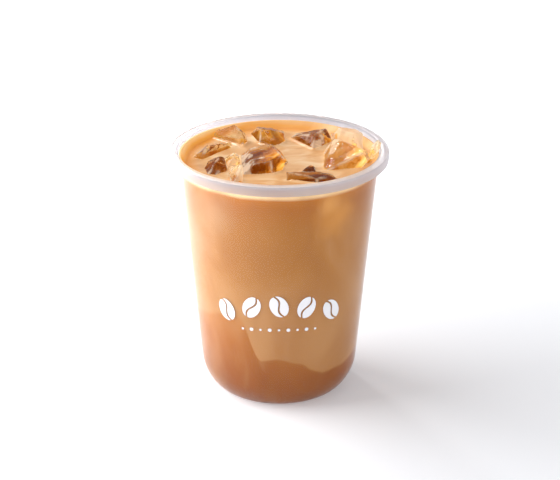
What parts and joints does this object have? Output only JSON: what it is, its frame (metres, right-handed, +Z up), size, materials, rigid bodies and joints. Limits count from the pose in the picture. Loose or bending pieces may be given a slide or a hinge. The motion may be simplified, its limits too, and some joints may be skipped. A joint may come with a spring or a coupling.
{
  "type": "iced milk coffee in a clear cup",
  "caption": "Iced milk coffee in a clear U-shaped cold cup with a flanged rim; dark layer below, milky layer above, broken ice standing out of the surface.",
  "frame": {"origin": "centre of the foot ring's underside, on the cup's axis", "axes": "+Z up along the cup's axis; -Y towards the viewer"},
  "size_m": [0.095, 0.095, 0.115],
  "materials": {
    "cup": "clear gloss",
    "dark_coffee": "liquid",
    "milky_coffee": "liquid",
    "ice": "wet ice"
  },
  "bodies": {
    "root": {"cup": "cup", "dark_coffee": "dark_coffee", "milky_coffee": "milky_coffee", "ice_left_back": "ice", "ice_back": "ice", "ice_right_back": "ice", "ice_right": "ice", "ice_right_front": "ice", "ice_shard_right": "ice", "ice_centre": "ice", "ice_front": "ice", "ice_left": "ice", "ice_shard_tall": "ice", "ice_shard_left": "ice", "ice_shard_front": "ice", "ice_chip": "ice"}
  },
  "joints": []
}
